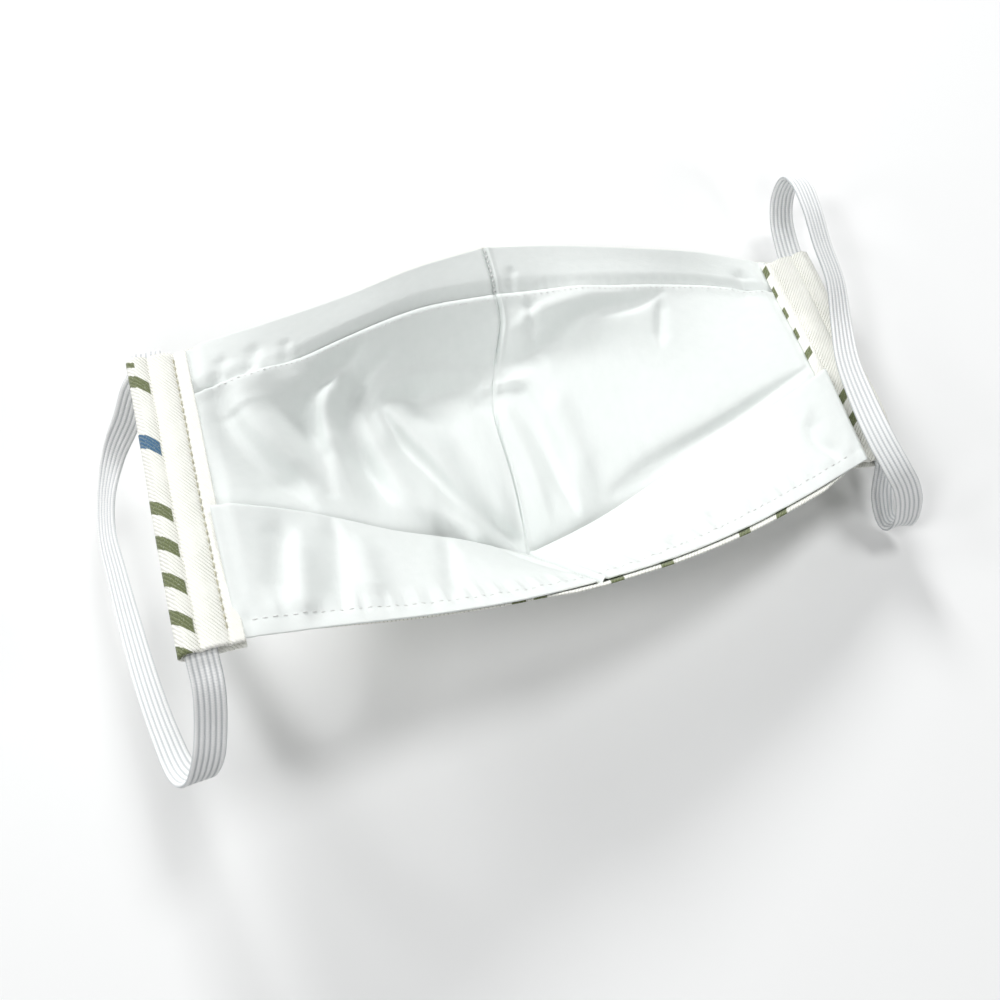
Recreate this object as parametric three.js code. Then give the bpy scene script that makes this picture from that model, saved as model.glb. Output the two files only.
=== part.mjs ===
// A sewn cloth face mask lying on its outside with the hollow up. Millimetres, +Z up.
// X runs across the face from the raised end (the left) to the end that lies low (the right).
// +Y is the nose side.
// The origin is the middle of the mask's footprint, on the surface that it lies on.
import * as THREE from "three";

// Driving sizes
const halfSpan = 79; // centre seam to casing, as the cloth lies
const reach = 96; // nose edge to chin hem at the centre, seen from above
const lift = 60; // height of the raised end's chin corner
const cloth = 1; // wall of every cloth panel
const gap = 0.3; // clear space between layers and across seams
const elasticWidth = 6.3;
const elasticThickness = 1;
const grip = 4.9; // how far the shell goes into a casing
const foldReturn = 5; // width of the folded edge of a chin panel
const shellPeek = 1.2; // printed cloth showing past the lining at the chin hem
const casingTopOverhang = 0.6;
const casingChinOverhang = 1.2;
const loopReach = 40; // size that the ear loops' routes follow
const bowlDepth = 0.85 * reach; // nose edge to keel, along the cloth
const chinDepth = 0.25 * reach; // folded edge to hem of the chin panels

// Derived sizes
const ply = cloth + gap;
const restHeight = 2 * cloth + gap; // lining over shell, where the cloth lies flat on the table
const casingHalf = cloth + gap + Math.max(cloth, elasticThickness) / 2;
const channelEnd = gap + elasticWidth + gap;

// Lines that run across the mask, one row for each section from the left end (-1) to the right end (1).
// x is a share of halfSpan, y a share of reach and z a share of lift.
// They lie on the side that faces the wearer.
const noseEdge = [
  { at: -1, x: -0.837, y: 0.427, z: 0.725 },
  { at: -0.9, x: -0.725, y: 0.45, z: 0.685 },
  { at: -0.75, x: -0.544, y: 0.488, z: 0.592 },
  { at: -0.5, x: -0.31, y: 0.551, z: 0.45 },
  { at: -0.25, x: -0.07, y: 0.615, z: 0.342 },
  { at: 0, x: 0.171, y: 0.654, z: 0.25 },
  { at: 0.25, x: 0.399, y: 0.631, z: 0.183 },
  { at: 0.5, x: 0.633, y: 0.578, z: 0.158 },
  { at: 0.75, x: 0.867, y: 0.518, z: 0.133 },
  { at: 0.9, x: 1.03, y: 0.46, z: 0.115 },
  { at: 1, x: 1.129, y: 0.422, z: 0.14 },
];
const bandSeam = [
  { at: -1, x: -0.832, y: 0.297, z: 0.767 },
  { at: -0.9, x: -0.722, y: 0.322, z: 0.728 },
  { at: -0.75, x: -0.544, y: 0.362, z: 0.583 },
  { at: -0.5, x: -0.316, y: 0.444, z: 0.425 },
  { at: -0.25, x: -0.076, y: 0.508, z: 0.283 },
  { at: 0, x: 0.165, y: 0.521, z: 0.183 },
  { at: 0.25, x: 0.392, y: 0.502, z: 0.133 },
  { at: 0.5, x: 0.627, y: 0.465, z: 0.1 },
  { at: 0.75, x: 0.854, y: 0.422, z: 0.083 },
  { at: 0.9, x: 1.03, y: 0.35, z: 0.14 },
  { at: 1, x: 1.129, y: 0.312, z: 0.17 },
];
const noseCrease = [
  { at: -1, x: -0.827, y: 0.161, z: 0.811 },
  { at: -0.9, x: -0.718, y: 0.178, z: 0.772 },
  { at: -0.75, x: -0.544, y: 0.208, z: 0.56 },
  { at: -0.5, x: -0.329, y: 0.255, z: 0.3 },
  { at: -0.25, x: -0.114, y: 0.292, z: 0.1 },
  { at: 0, x: 0.095, y: 0.307, z: 0.02 },
  { at: 0.25, x: 0.342, y: 0.292, z: 0.015 },
  { at: 0.5, x: 0.589, y: 0.26, z: 0.03 },
  { at: 0.75, x: 0.842, y: 0.229, z: 0.075 },
  { at: 0.9, x: 1.03, y: 0.208, z: 0.19 },
  { at: 1, x: 1.129, y: 0.198, z: 0.2 },
];
const underFold = [
  { at: -1, x: -0.822, y: 0.031, z: 0.852 },
  { at: -0.9, x: -0.714, y: 0.015, z: 0.815 },
  { at: -0.75, x: -0.544, y: -0.005, z: 0.6 },
  { at: -0.5, x: -0.342, y: -0.068, z: 0.4 },
  { at: -0.25, x: -0.152, y: -0.109, z: 0.17 },
  { at: 0, x: 0.025, y: -0.146, z: 0.02 },
  { at: 0.25, x: 0.278, y: -0.125, z: 0.02 },
  { at: 0.5, x: 0.551, y: -0.057, z: 0.06 },
  { at: 0.75, x: 0.829, y: 0, z: 0.115 },
  { at: 0.9, x: 1.03, y: 0.05, z: 0.235 },
  { at: 1, x: 1.129, y: 0.078, z: 0.232 },
];
const keel = [
  { at: -1, x: -0.815, y: -0.135, z: 0.906 },
  { at: -0.9, x: -0.708, y: -0.15, z: 0.87 },
  { at: -0.75, x: -0.544, y: -0.172, z: 0.66 },
  { at: -0.5, x: -0.342, y: -0.198, z: 0.36 },
  { at: -0.25, x: -0.152, y: -0.214, z: 0.12 },
  { at: 0, x: 0.032, y: -0.219, z: 0.02 },
  { at: 0.25, x: 0.291, y: -0.203, z: 0.015 },
  { at: 0.5, x: 0.557, y: -0.172, z: 0.025 },
  { at: 0.75, x: 0.835, y: -0.13, z: 0.12 },
  { at: 0.9, x: 1.032, y: -0.095, z: 0.27 },
  { at: 1, x: 1.129, y: -0.073, z: 0.272 },
];
const chinFold = [
  { at: -1, x: -0.818, y: 0.026, z: 0.912 },
  { at: -0.9, x: -0.71, y: 0.01, z: 0.878 },
  { at: -0.75, x: -0.544, y: -0.013, z: 0.663 },
  { at: -0.5, x: -0.342, y: -0.075, z: 0.475 },
  { at: -0.25, x: -0.152, y: -0.115, z: 0.27 },
  { at: 0, x: 0.025, y: -0.172, z: 0.09 },
  { at: 0.25, x: 0.278, y: -0.133, z: 0.12 },
  { at: 0.5, x: 0.551, y: -0.063, z: 0.15 },
  { at: 0.75, x: 0.823, y: -0.002, z: 0.183 },
  { at: 0.9, x: 1.028, y: 0.045, z: 0.29 },
  { at: 1, x: 1.125, y: 0.073, z: 0.285 },
];
const chinHem = [
  { at: -1, x: -0.81, y: -0.272, z: 0.95 },
  { at: -0.9, x: -0.703, y: -0.286, z: 0.925 },
  { at: -0.75, x: -0.532, y: -0.301, z: 0.867 },
  { at: -0.5, x: -0.304, y: -0.32, z: 0.75 },
  { at: -0.25, x: -0.063, y: -0.333, z: 0.65 },
  { at: 0, x: 0.171, y: -0.333, z: 0.567 },
  { at: 0.25, x: 0.405, y: -0.321, z: 0.5 },
  { at: 0.5, x: 0.633, y: -0.295, z: 0.442 },
  { at: 0.75, x: 0.861, y: -0.253, z: 0.392 },
  { at: 0.9, x: 1.034, y: -0.215, z: 0.35 },
  { at: 1, x: 1.129, y: -0.193, z: 0.305 },
];

// Main folds and dents of the bowl. u and v are places on it, v counting the lines from the nose edge (0)
// to the keel (4). width is a share of halfSpan and height a share of lift, below zero for a dent.
const bowlFolds = [
  { fromU: -0.86, fromV: 1.3, toU: -0.36, toV: 2.9, width: 0.09, height: -0.05 }, // dent from the band to the chin
  { fromU: -0.8, fromV: 1.15, toU: -0.6, toV: 2.1, width: 0.09, height: 0.06 }, // bulge beside it
  { fromU: -0.52, fromV: 1.35, toU: -0.55, toV: 2.6, width: 0.065, height: -0.05 }, // dent in the left cheek
  { fromU: -0.42, fromV: 2.1, toU: -0.22, toV: 2.95, width: 0.065, height: 0.045 }, // ridge to the chin
  { fromU: -0.33, fromV: 2.05, toU: -0.04, toV: 2.95, width: 0.05, height: -0.05 }, // sharp dent to the chin
  { fromU: -0.4, fromV: 1.9, toU: -0.02, toV: 1.98, width: 0.065, height: -0.04 }, // crease out of the nose
  { fromU: 0.06, fromV: 1.6, toU: 0.3, toV: 1.15, width: 0.09, height: 0.03 }, // swelling beside the nose
  { fromU: 0.12, fromV: 2.1, toU: 0.2, toV: 2.8, width: 0.065, height: 0.02 }, // ridge right of the seam
  { fromU: 0.5, fromV: 1.3, toU: 0.9, toV: 2.6, width: 0.18, height: 0.03 }, // loose lining, right cheek
];
const chinFolds = [
  { fromU: -0.86, fromV: 0.35, toU: -0.84, toV: 0.9, width: 0.065, height: 0.025 },
  { fromU: -0.72, fromV: 0.2, toU: -0.64, toV: 0.9, width: 0.065, height: 0.03 },
  { fromU: -0.3, fromV: 0.3, toU: -0.12, toV: 0.8, width: 0.09, height: 0.03 },
  { fromU: 0.3, fromV: 0.3, toU: 0.26, toV: 0.8, width: 0.09, height: 0.03 },
];

// Routes of the ear loops outside their casings, from the chin end of the casing to its nose end.
// along is a share of the casing's length from the nose end, out and up are shares of loopReach
// from the casing's line, and roll turns the band about its own line, in degrees from level.
const leftRoute = [
  { along: 1.09, out: 0.01, up: -0.06, roll: -6 },
  { along: 1.185, out: 0.07, up: -0.2, roll: -6 },
  { along: 1.265, out: 0.14, up: -0.32, roll: -4 },
  { along: 1.31, out: 0.26, up: -0.51, roll: -4 },
  { along: 1.26, out: 0.385, up: -0.67, roll: -6 },
  { along: 1.13, out: 0.45, up: -0.7, roll: -10 },
  { along: 0.98, out: 0.495, up: -0.7, roll: -14 },
  { along: 0.78, out: 0.54, up: -0.71, roll: -20 },
  { along: 0.57, out: 0.575, up: -0.71, roll: -28 },
  { along: 0.42, out: 0.59, up: -0.7, roll: -33 },
  { along: 0.285, out: 0.54, up: -0.64, roll: -33 },
  { along: 0.16, out: 0.42, up: -0.525, roll: -24 },
  { along: 0.095, out: 0.265, up: -0.35, roll: -16 },
  { along: 0.04, out: 0.15, up: -0.2, roll: -8 },
  { along: -0.005, out: 0.055, up: -0.13, roll: -2 },
  { along: -0.03, out: 0.02, up: -0.055, roll: 0 },
];
const rightRoute = [
  { along: 1.11, out: -0.03, up: -0.16, roll: -5 },
  { along: 1.21, out: -0.01, up: -0.28, roll: -10 },
  { along: 1.24, out: 0.045, up: -0.23, roll: -12 },
  { along: 1.19, out: 0.06, up: -0.085, roll: -14 },
  { along: 1.125, out: 0.035, up: 0.04, roll: -16 },
  { along: 1.06, out: -0.01, up: 0.125, roll: -18 },
  { along: 0.93, out: -0.055, up: 0.19, roll: -20 },
  { along: 0.755, out: -0.065, up: 0.21, roll: -8 },
  { along: 0.58, out: -0.05, up: 0.22, roll: 6 },
  { along: 0.41, out: 0.01, up: 0.235, roll: 18 },
  { along: 0.24, out: 0.055, up: 0.305, roll: 24 },
  { along: 0.075, out: 0.05, up: 0.37, roll: 24 },
  { along: -0.085, out: 0.06, up: 0.43, roll: 22 },
  { along: -0.215, out: 0.075, up: 0.415, roll: 18 },
  { along: -0.285, out: 0.08, up: 0.32, roll: 14 },
  { along: -0.26, out: 0.045, up: 0.19, roll: 8 },
  { along: -0.165, out: 0.01, up: 0.08, roll: 2 },
];

// A smooth value between the rows of one half of the mask, so that the centre seam may be a crease.
function between(rows, column, u) {
  const middle = (rows.length - 1) / 2;
  const first = u < 0 ? 0 : middle;
  const last = first + middle;
  let i = first;
  while (i < last - 1 && rows[i + 1].at <= u) i += 1;
  const slope = (k) => {
    const a = Math.max(k - 1, first);
    const b = Math.min(k + 1, last);
    return (rows[b][column] - rows[a][column]) / (rows[b].at - rows[a].at);
  };
  const width = rows[i + 1].at - rows[i].at;
  const t = (u - rows[i].at) / width;
  const t2 = t * t;
  const t3 = t2 * t;
  return (
    (2 * t3 - 3 * t2 + 1) * rows[i][column] +
    (t3 - 2 * t2 + t) * width * slope(i) +
    (3 * t2 - 2 * t3) * rows[i + 1][column] +
    (t3 - t2) * width * slope(i + 1)
  );
}

function onLine(rows, u) {
  return new THREE.Vector3(
    halfSpan * between(rows, "x", u),
    reach * between(rows, "y", u),
    lift * between(rows, "z", u),
  );
}

// A point of the surface through several lines at section u, v counting the lines.
function throughLines(lines, u, v) {
  const points = lines.map((rows) => onLine(rows, u));
  const i = Math.min(Math.max(Math.floor(v), 0), lines.length - 2);
  const slope = (k) => {
    const a = Math.max(k - 1, 0);
    const b = Math.min(k + 1, lines.length - 1);
    return points[b].clone().sub(points[a]).divideScalar(b - a);
  };
  const t = v - i;
  const t2 = t * t;
  const t3 = t2 * t;
  return points[i]
    .clone()
    .multiplyScalar(2 * t3 - 3 * t2 + 1)
    .addScaledVector(slope(i), t3 - 2 * t2 + t)
    .addScaledVector(points[i + 1], 3 * t2 - 2 * t3)
    .addScaledVector(slope(i + 1), t3 - t2);
}

// How much the folds raise the cloth at (u, v). A fold fades along its line and to both sides of it.
function foldHeight(folds, u, v, lineSpacing) {
  let sum = 0;
  for (const f of folds) {
    const alongU = (f.toU - f.fromU) * halfSpan;
    const alongV = (f.toV - f.fromV) * lineSpacing;
    const dU = (u - f.fromU) * halfSpan;
    const dV = (v - f.fromV) * lineSpacing;
    const length = Math.hypot(alongU, alongV);
    const t = (dU * alongU + dV * alongV) / length ** 2;
    const aside = (dU * alongV - dV * alongU) / length;
    const beyond = Math.max(0, -t, t - 1) * length;
    const width = f.width * halfSpan;
    sum += f.height * lift * Math.exp(-((aside / width) ** 2) - (beyond / width) ** 2);
  }
  return sum;
}

// Folds end at endU to the sides, fading over overU before it, and at the upper and lower edges over overV.
const foldFade = { endU: 0.9, overU: 0.12, overV: 0.5 };
const near = 0.02; // step in u and v that shows which way the cloth faces

// A cloth surface through several lines, with its folds.
// v counts the lines, and n is the way off it, towards the wearer.
class ClothSurface {
  constructor(lines, folds, lineSpacing) {
    this.lines = lines;
    this.folds = folds;
    this.lineSpacing = lineSpacing;
  }

  // Folds die away at the seams that hold the cloth.
  held(u, v) {
    const end = Math.min(keelPlace, this.lines.length - 1);
    const sides = (foldFade.endU - Math.abs(u)) / foldFade.overU;
    return Math.max(0, Math.min(1, sides, v / foldFade.overV, (end - v) / foldFade.overV));
  }

  facing(u, v) {
    const alongU = throughLines(this.lines, u + near, v).sub(throughLines(this.lines, u - near, v));
    const alongV = throughLines(this.lines, u, v + near).sub(throughLines(this.lines, u, v - near));
    return alongV.cross(alongU).normalize();
  }

  at(u, v, n = 0) {
    const point = throughLines(this.lines, u, v);
    point.z += foldHeight(this.folds, u, v, this.lineSpacing) * this.held(u, v);
    point.addScaledVector(this.facing(u, v), n);
    point.z = Math.max(point.z, restHeight + n);
    return point;
  }
}

const bowlLines = [noseEdge, bandSeam, noseCrease, underFold, keel];
const keelPlace = bowlLines.length - 1;
const bowl = new ClothSurface([...bowlLines, chinHem], bowlFolds, bowlDepth / keelPlace);
const chin = new ClothSurface([chinFold, chinHem], chinFolds, chinDepth);

// A closed solid from sections. Each section is a ring of points, and caps has the triangles that close it.
// back lists the ring's edges whose four-sided faces are parted along their other diagonal.
function skin(sections, { caps = [], joined = false, back = [] }) {
  const ring = sections[0].length;
  const positions = sections.flat().flatMap((p) => [p.x, p.y, p.z]);
  const faces = [];
  const spans = joined ? sections.length : sections.length - 1;
  for (let s = 0; s < spans; s += 1) {
    const next = (s + 1) % sections.length;
    for (let k = 0; k < ring; k += 1) {
      const kk = (k + 1) % ring;
      const [a, b] = [s * ring + k, s * ring + kk];
      const [c, d] = [next * ring + k, next * ring + kk];
      faces.push(...(back[k] ? [a, b, c, b, d, c] : [a, b, d, a, d, c]));
    }
  }
  if (!joined) {
    const lastRing = (sections.length - 1) * ring;
    for (const [a, b, c] of caps) {
      faces.push(a, c, b);
      faces.push(lastRing + a, lastRing + b, lastRing + c);
    }
  }
  const geometry = new THREE.BufferGeometry();
  geometry.setAttribute("position", new THREE.Float32BufferAttribute(positions, 3));
  geometry.setIndex(faces);
  if (enclosed(geometry) < 0) {
    for (let i = 0; i < faces.length; i += 3) {
      [faces[i + 1], faces[i + 2]] = [faces[i + 2], faces[i + 1]];
    }
    geometry.setIndex(faces);
  }
  geometry.computeVertexNormals();
  return geometry;
}

function enclosed(geometry) {
  const position = geometry.getAttribute("position");
  const [a, b, c] = [new THREE.Vector3(), new THREE.Vector3(), new THREE.Vector3()];
  let sum = 0;
  for (let i = 0; i < geometry.index.count; i += 3) {
    a.fromBufferAttribute(position, geometry.index.getX(i));
    b.fromBufferAttribute(position, geometry.index.getX(i + 1));
    c.fromBufferAttribute(position, geometry.index.getX(i + 2));
    sum += a.dot(b.cross(c));
  }
  return sum;
}

function spread(from, to, steps) {
  return Array.from({ length: steps + 1 }, (_, i) => from + ((to - from) * i) / steps);
}

// The section of a plain wall: v along the cloth and n off its surface.
function wallSection(places, top, bottom) {
  const over = places.map((v) => ({ v, n: top }));
  const under = [...places].reverse().map((v) => ({ v, n: bottom }));
  return [...over, ...under];
}

// The triangles that close a section, wound as the section is.
function capFaces(outline) {
  const faces = THREE.ShapeUtils.triangulateShape(outline, []);
  return THREE.ShapeUtils.isClockWise(outline) ? faces.map(([a, b, c]) => [a, c, b]) : faces;
}

// The same for a plain wall, in steps from one side to the other, since a wall bends along its section.
function wallCaps(ring) {
  return spread(0, ring / 2 - 2, ring / 2 - 2).flatMap((k) => [
    [k, k + 1, ring - 1 - k],
    [k + 1, ring - 2 - k, ring - 1 - k],
  ]);
}

// A cloth panel: one flat section carried over the surface from section to section.
// Both sides of the cloth part their faces along the same diagonals, so layers keep their distance.
function panel(surface, sectionPlaces, section, caps) {
  const rings = sectionPlaces.map((u) => section.map((p) => surface.at(u, p.v, p.n)));
  const back = section.map((p, k) => section[(k + 1) % section.length].v < p.v);
  return skin(rings, { caps, back });
}

// Lengths along the side of the mask in v, for sizes that are set in millimetres.
function acrossHem(mm) {
  const span = onLine(keel, 0.5).distanceTo(onLine(chinHem, 0.5));
  return mm / span;
}

const seamHalf = gap / 2 / halfSpan;
const liningEnd = 1 - (grip + 2 * gap) / halfSpan;
const sectionCount = 14;

// Section places of one half, from the centre seam out. The shell alone goes on into its casing.
function halfPlaces(side, intoCasing = false) {
  const places = spread(seamHalf, liningEnd, sectionCount);
  if (intoCasing) places.push(1);
  return side < 0 ? places.map((u) => -u).reverse() : places;
}

// Places down the bowl that the shell and its lining share, so that the layers keep their distance.
const bandPlaces = [0, 0.32, 0.64, 0.96];
const cheekPlaces = [1, 1.3, 1.55, 1.8, 2, 2.2, 2.45, 2.7, 3, 3.3, 3.6, 3.9];
const wallPlaces = [4.1, 4.35, 4.6, 4.8];
const shellPlaces = [...bandPlaces, ...cheekPlaces, ...wallPlaces, 5 + acrossHem(shellPeek)];

function shell(side) {
  const section = wallSection(shellPlaces, -ply, -ply - cloth);
  return panel(bowl, halfPlaces(side, true), section, wallCaps(section.length));
}

function noseBand(side) {
  const section = wallSection(bandPlaces, 0, -cloth);
  return panel(bowl, halfPlaces(side), section, wallCaps(section.length));
}

function cheekLining(side) {
  const section = wallSection(cheekPlaces, 0, -cloth);
  return panel(bowl, halfPlaces(side), section, wallCaps(section.length));
}

// The chin panel's upper edge is folded under, so its section is a hook.
function chinPanel(side) {
  const length = onLine(chinFold, 0.5).distanceTo(onLine(chinHem, 0.5));
  const back = foldReturn / length;
  const round = cloth / length;
  const edgeDepth = 0.85 * ply;
  const section = [
    ...[round, 0.2, 0.4, 0.6, 0.8, 1].map((v) => ({ v, n: 0 })),
    ...[1, 0.8, 0.6, 0.4, round].map((v) => ({ v, n: -cloth })),
    { v: round, n: -ply },
    { v: back, n: -ply },
    { v: back, n: -ply - cloth },
    { v: round, n: -ply - cloth },
    { v: 0, n: -edgeDepth },
  ];
  const outline = section.map((p) => new THREE.Vector2(p.v * length, p.n));
  return panel(chin, halfPlaces(side), section, capFaces(outline));
}

// The line of a casing along the end of the shell, with the directions out of the mask and off the cloth.
function casingFrames(side) {
  const depth = -ply - cloth / 2;
  const centres = shellPlaces.map((v) => bowl.at(side, v, depth));
  const outwards = shellPlaces.map((v, i) => centres[i].clone().sub(bowl.at(side * liningEnd, v, depth)));
  const [nose, hem] = [centres[0], centres[centres.length - 1]];
  const along = hem.clone().sub(nose).normalize();
  centres.unshift(nose.clone().addScaledVector(along, -casingTopOverhang));
  centres.push(hem.clone().addScaledVector(along, casingChinOverhang));
  return centres.map((centre, i) => {
    const raw = outwards[Math.min(Math.max(i - 1, 0), outwards.length - 1)];
    const outward = raw.clone().addScaledVector(along, -raw.dot(along)).normalize();
    return { centre, outward, off: outward.clone().cross(along).multiplyScalar(-side) };
  });
}

function sweep(frames, outline, joined = false) {
  const caps = joined ? [] : capFaces(outline);
  const rings = frames.map((f) =>
    outline.map((p) =>
      f.centre.clone().addScaledVector(f.outward, p.x).addScaledVector(f.off, p.y),
    ),
  );
  return skin(rings, { caps, joined });
}

// A strip folded round the end of the shell, open towards the mask, with room for the elastic at its fold.
function casing(side) {
  const room = casingHalf - cloth;
  const bend = channelEnd + cloth - casingHalf;
  const outline = [new THREE.Vector2(-grip, casingHalf)];
  for (const turn of [90, 54, 18, -18, -54, -90]) {
    const a = THREE.MathUtils.degToRad(turn);
    outline.push(new THREE.Vector2(bend + casingHalf * Math.cos(a), casingHalf * Math.sin(a)));
  }
  outline.push(new THREE.Vector2(-grip, -casingHalf));
  outline.push(new THREE.Vector2(-grip, -room), new THREE.Vector2(channelEnd, -room));
  outline.push(new THREE.Vector2(channelEnd, room), new THREE.Vector2(-grip, room));
  return sweep(casingFrames(side), outline);
}

const stepsPerStop = 3; // sections of an ear loop from one stop of its route to the next

// A flat elastic band in one ring: through its casing and back by its route.
function earLoop(side, route) {
  const inside = casingFrames(side).map((f) => ({
    ...f,
    centre: f.centre.clone().addScaledVector(f.outward, channelEnd / 2),
  }));
  const [nose, chinEnd] = [inside[0], inside[inside.length - 1]];
  const turned = route.map((r) => {
    const centre = nose.centre.clone().lerp(chinEnd.centre, r.along);
    centre.x += side * r.out * loopReach;
    centre.z += r.up * loopReach;
    return { centre, roll: THREE.MathUtils.degToRad(r.roll) };
  });
  const stops = [inside[inside.length - 2], chinEnd, ...turned, nose, inside[1]];
  const line = new THREE.CatmullRomCurve3(stops.map((s) => s.centre), false, "centripetal");
  const spans = stops.length - 1;
  stops.forEach((stop, i) => {
    if (stop.outward) return;
    const along = line.getTangent(i / spans);
    const level = new THREE.Vector3(side, 0, 0);
    stop.outward = level.addScaledVector(along, -level.dot(along)).normalize();
    stop.outward.applyAxisAngle(along, stop.roll);
  });
  const widths = new THREE.CatmullRomCurve3(stops.map((s) => s.outward), false, "centripetal");
  const outside = spread(1, spans - 1, stepsPerStop * (spans - 2)).slice(1, -1).map((k) => {
    const centre = line.getPoint(k / spans);
    const along = line.getTangent(k / spans);
    const outward = widths.getPoint(k / spans);
    outward.addScaledVector(along, -outward.dot(along)).normalize();
    return { centre, outward, off: outward.clone().cross(along).multiplyScalar(-side) };
  });
  const frames = [...inside, ...outside];
  const [w, t] = [elasticWidth / 2, elasticThickness / 2];
  const bevel = t / 2;
  const outline = [
    new THREE.Vector2(-w, 0),
    new THREE.Vector2(-w + bevel, t),
    new THREE.Vector2(w - bevel, t),
    new THREE.Vector2(w, 0),
    new THREE.Vector2(w - bevel, -t),
    new THREE.Vector2(-w + bevel, -t),
  ];
  return sweep(frames, outline, true);
}

const printedTwill = new THREE.MeshStandardMaterial({ color: 0xf2f0e4, roughness: 0.85, metalness: 0 });
const whiteLawn = new THREE.MeshStandardMaterial({ color: 0xf4f6f5, roughness: 0.75, metalness: 0 });
const elastic = new THREE.MeshStandardMaterial({ color: 0xf3f4f5, roughness: 0.6, metalness: 0 });

const mask = new THREE.Group();
function add(name, geometry, material) {
  const mesh = new THREE.Mesh(geometry, material);
  mesh.name = name;
  mask.add(mesh);
}

for (const [side, end, route] of [
  [-1, "left", leftRoute],
  [1, "right", rightRoute],
]) {
  add(`outer_shell_${end}`, shell(side), printedTwill);
  add(`nose_band_${end}`, noseBand(side), whiteLawn);
  add(`cheek_lining_${end}`, cheekLining(side), whiteLawn);
  add(`chin_panel_${end}`, chinPanel(side), whiteLawn);
  add(`casing_${end}`, casing(side), printedTwill);
  add(`ear_loop_${end}`, earLoop(side, route), elastic);
}

// The footprint's middle becomes the origin.
const box = new THREE.Box3().setFromObject(mask, true);
mask.position.set(-(box.min.x + box.max.x) / 2, -(box.min.y + box.max.y) / 2, -box.min.z);

export default mask;
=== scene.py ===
# Looks of a sewn cloth face mask that lies on its outside, hollow up. Shapes are worked out in millimetres.
import math

import bpy
import numpy as np
from mathutils import Matrix, Vector


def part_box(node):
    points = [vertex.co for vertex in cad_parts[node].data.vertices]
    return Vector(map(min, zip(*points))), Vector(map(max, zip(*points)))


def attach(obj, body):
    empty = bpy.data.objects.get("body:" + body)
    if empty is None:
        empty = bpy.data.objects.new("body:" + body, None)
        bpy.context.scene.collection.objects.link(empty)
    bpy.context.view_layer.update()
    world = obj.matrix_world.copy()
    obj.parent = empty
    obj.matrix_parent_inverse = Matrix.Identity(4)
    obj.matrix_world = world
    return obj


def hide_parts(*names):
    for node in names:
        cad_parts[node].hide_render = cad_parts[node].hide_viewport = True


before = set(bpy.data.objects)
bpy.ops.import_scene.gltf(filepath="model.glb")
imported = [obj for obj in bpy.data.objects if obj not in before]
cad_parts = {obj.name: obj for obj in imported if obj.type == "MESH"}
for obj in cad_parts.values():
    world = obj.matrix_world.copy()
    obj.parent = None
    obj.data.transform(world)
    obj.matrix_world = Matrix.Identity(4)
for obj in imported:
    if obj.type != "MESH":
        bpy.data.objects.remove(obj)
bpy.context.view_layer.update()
print("frame loaded")

# Camera, straight from the photograph's framing
cameraLook = {
    "place": (-20.4, -70.7, 249.2),
    "right": (0.9613, -0.2756, 0.0),
    "up": (0.2662, 0.9285, 0.2588),
    "lens": 36.0,
}

# Sizes of the mask, as the part has them
mask = {
    "halfSpan": 79.0,
    "reach": 96.0,
    "lift": 60.0,
    "wall": 1.0,  # room that each layer of cloth takes
    "gap": 0.3,
    "elasticWidth": 6.3,
    "elasticThickness": 1.0,
    "grip": 4.9,
    "shellPeek": 1.2,
    "topOverhang": 0.6,
    "chinOverhang": 1.2,
    "loopReach": 40.0,
}
ply = mask["wall"] + mask["gap"]
restHeight = 2 * mask["wall"] + mask["gap"]
seamHalf = mask["gap"] / 2 / mask["halfSpan"]
liningEnd = 1 - (mask["grip"] + 2 * mask["gap"]) / mask["halfSpan"]
channelEnd = 2 * mask["gap"] + mask["elasticWidth"]
casingHalf = mask["wall"] + mask["gap"] + mask["wall"] / 2

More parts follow.
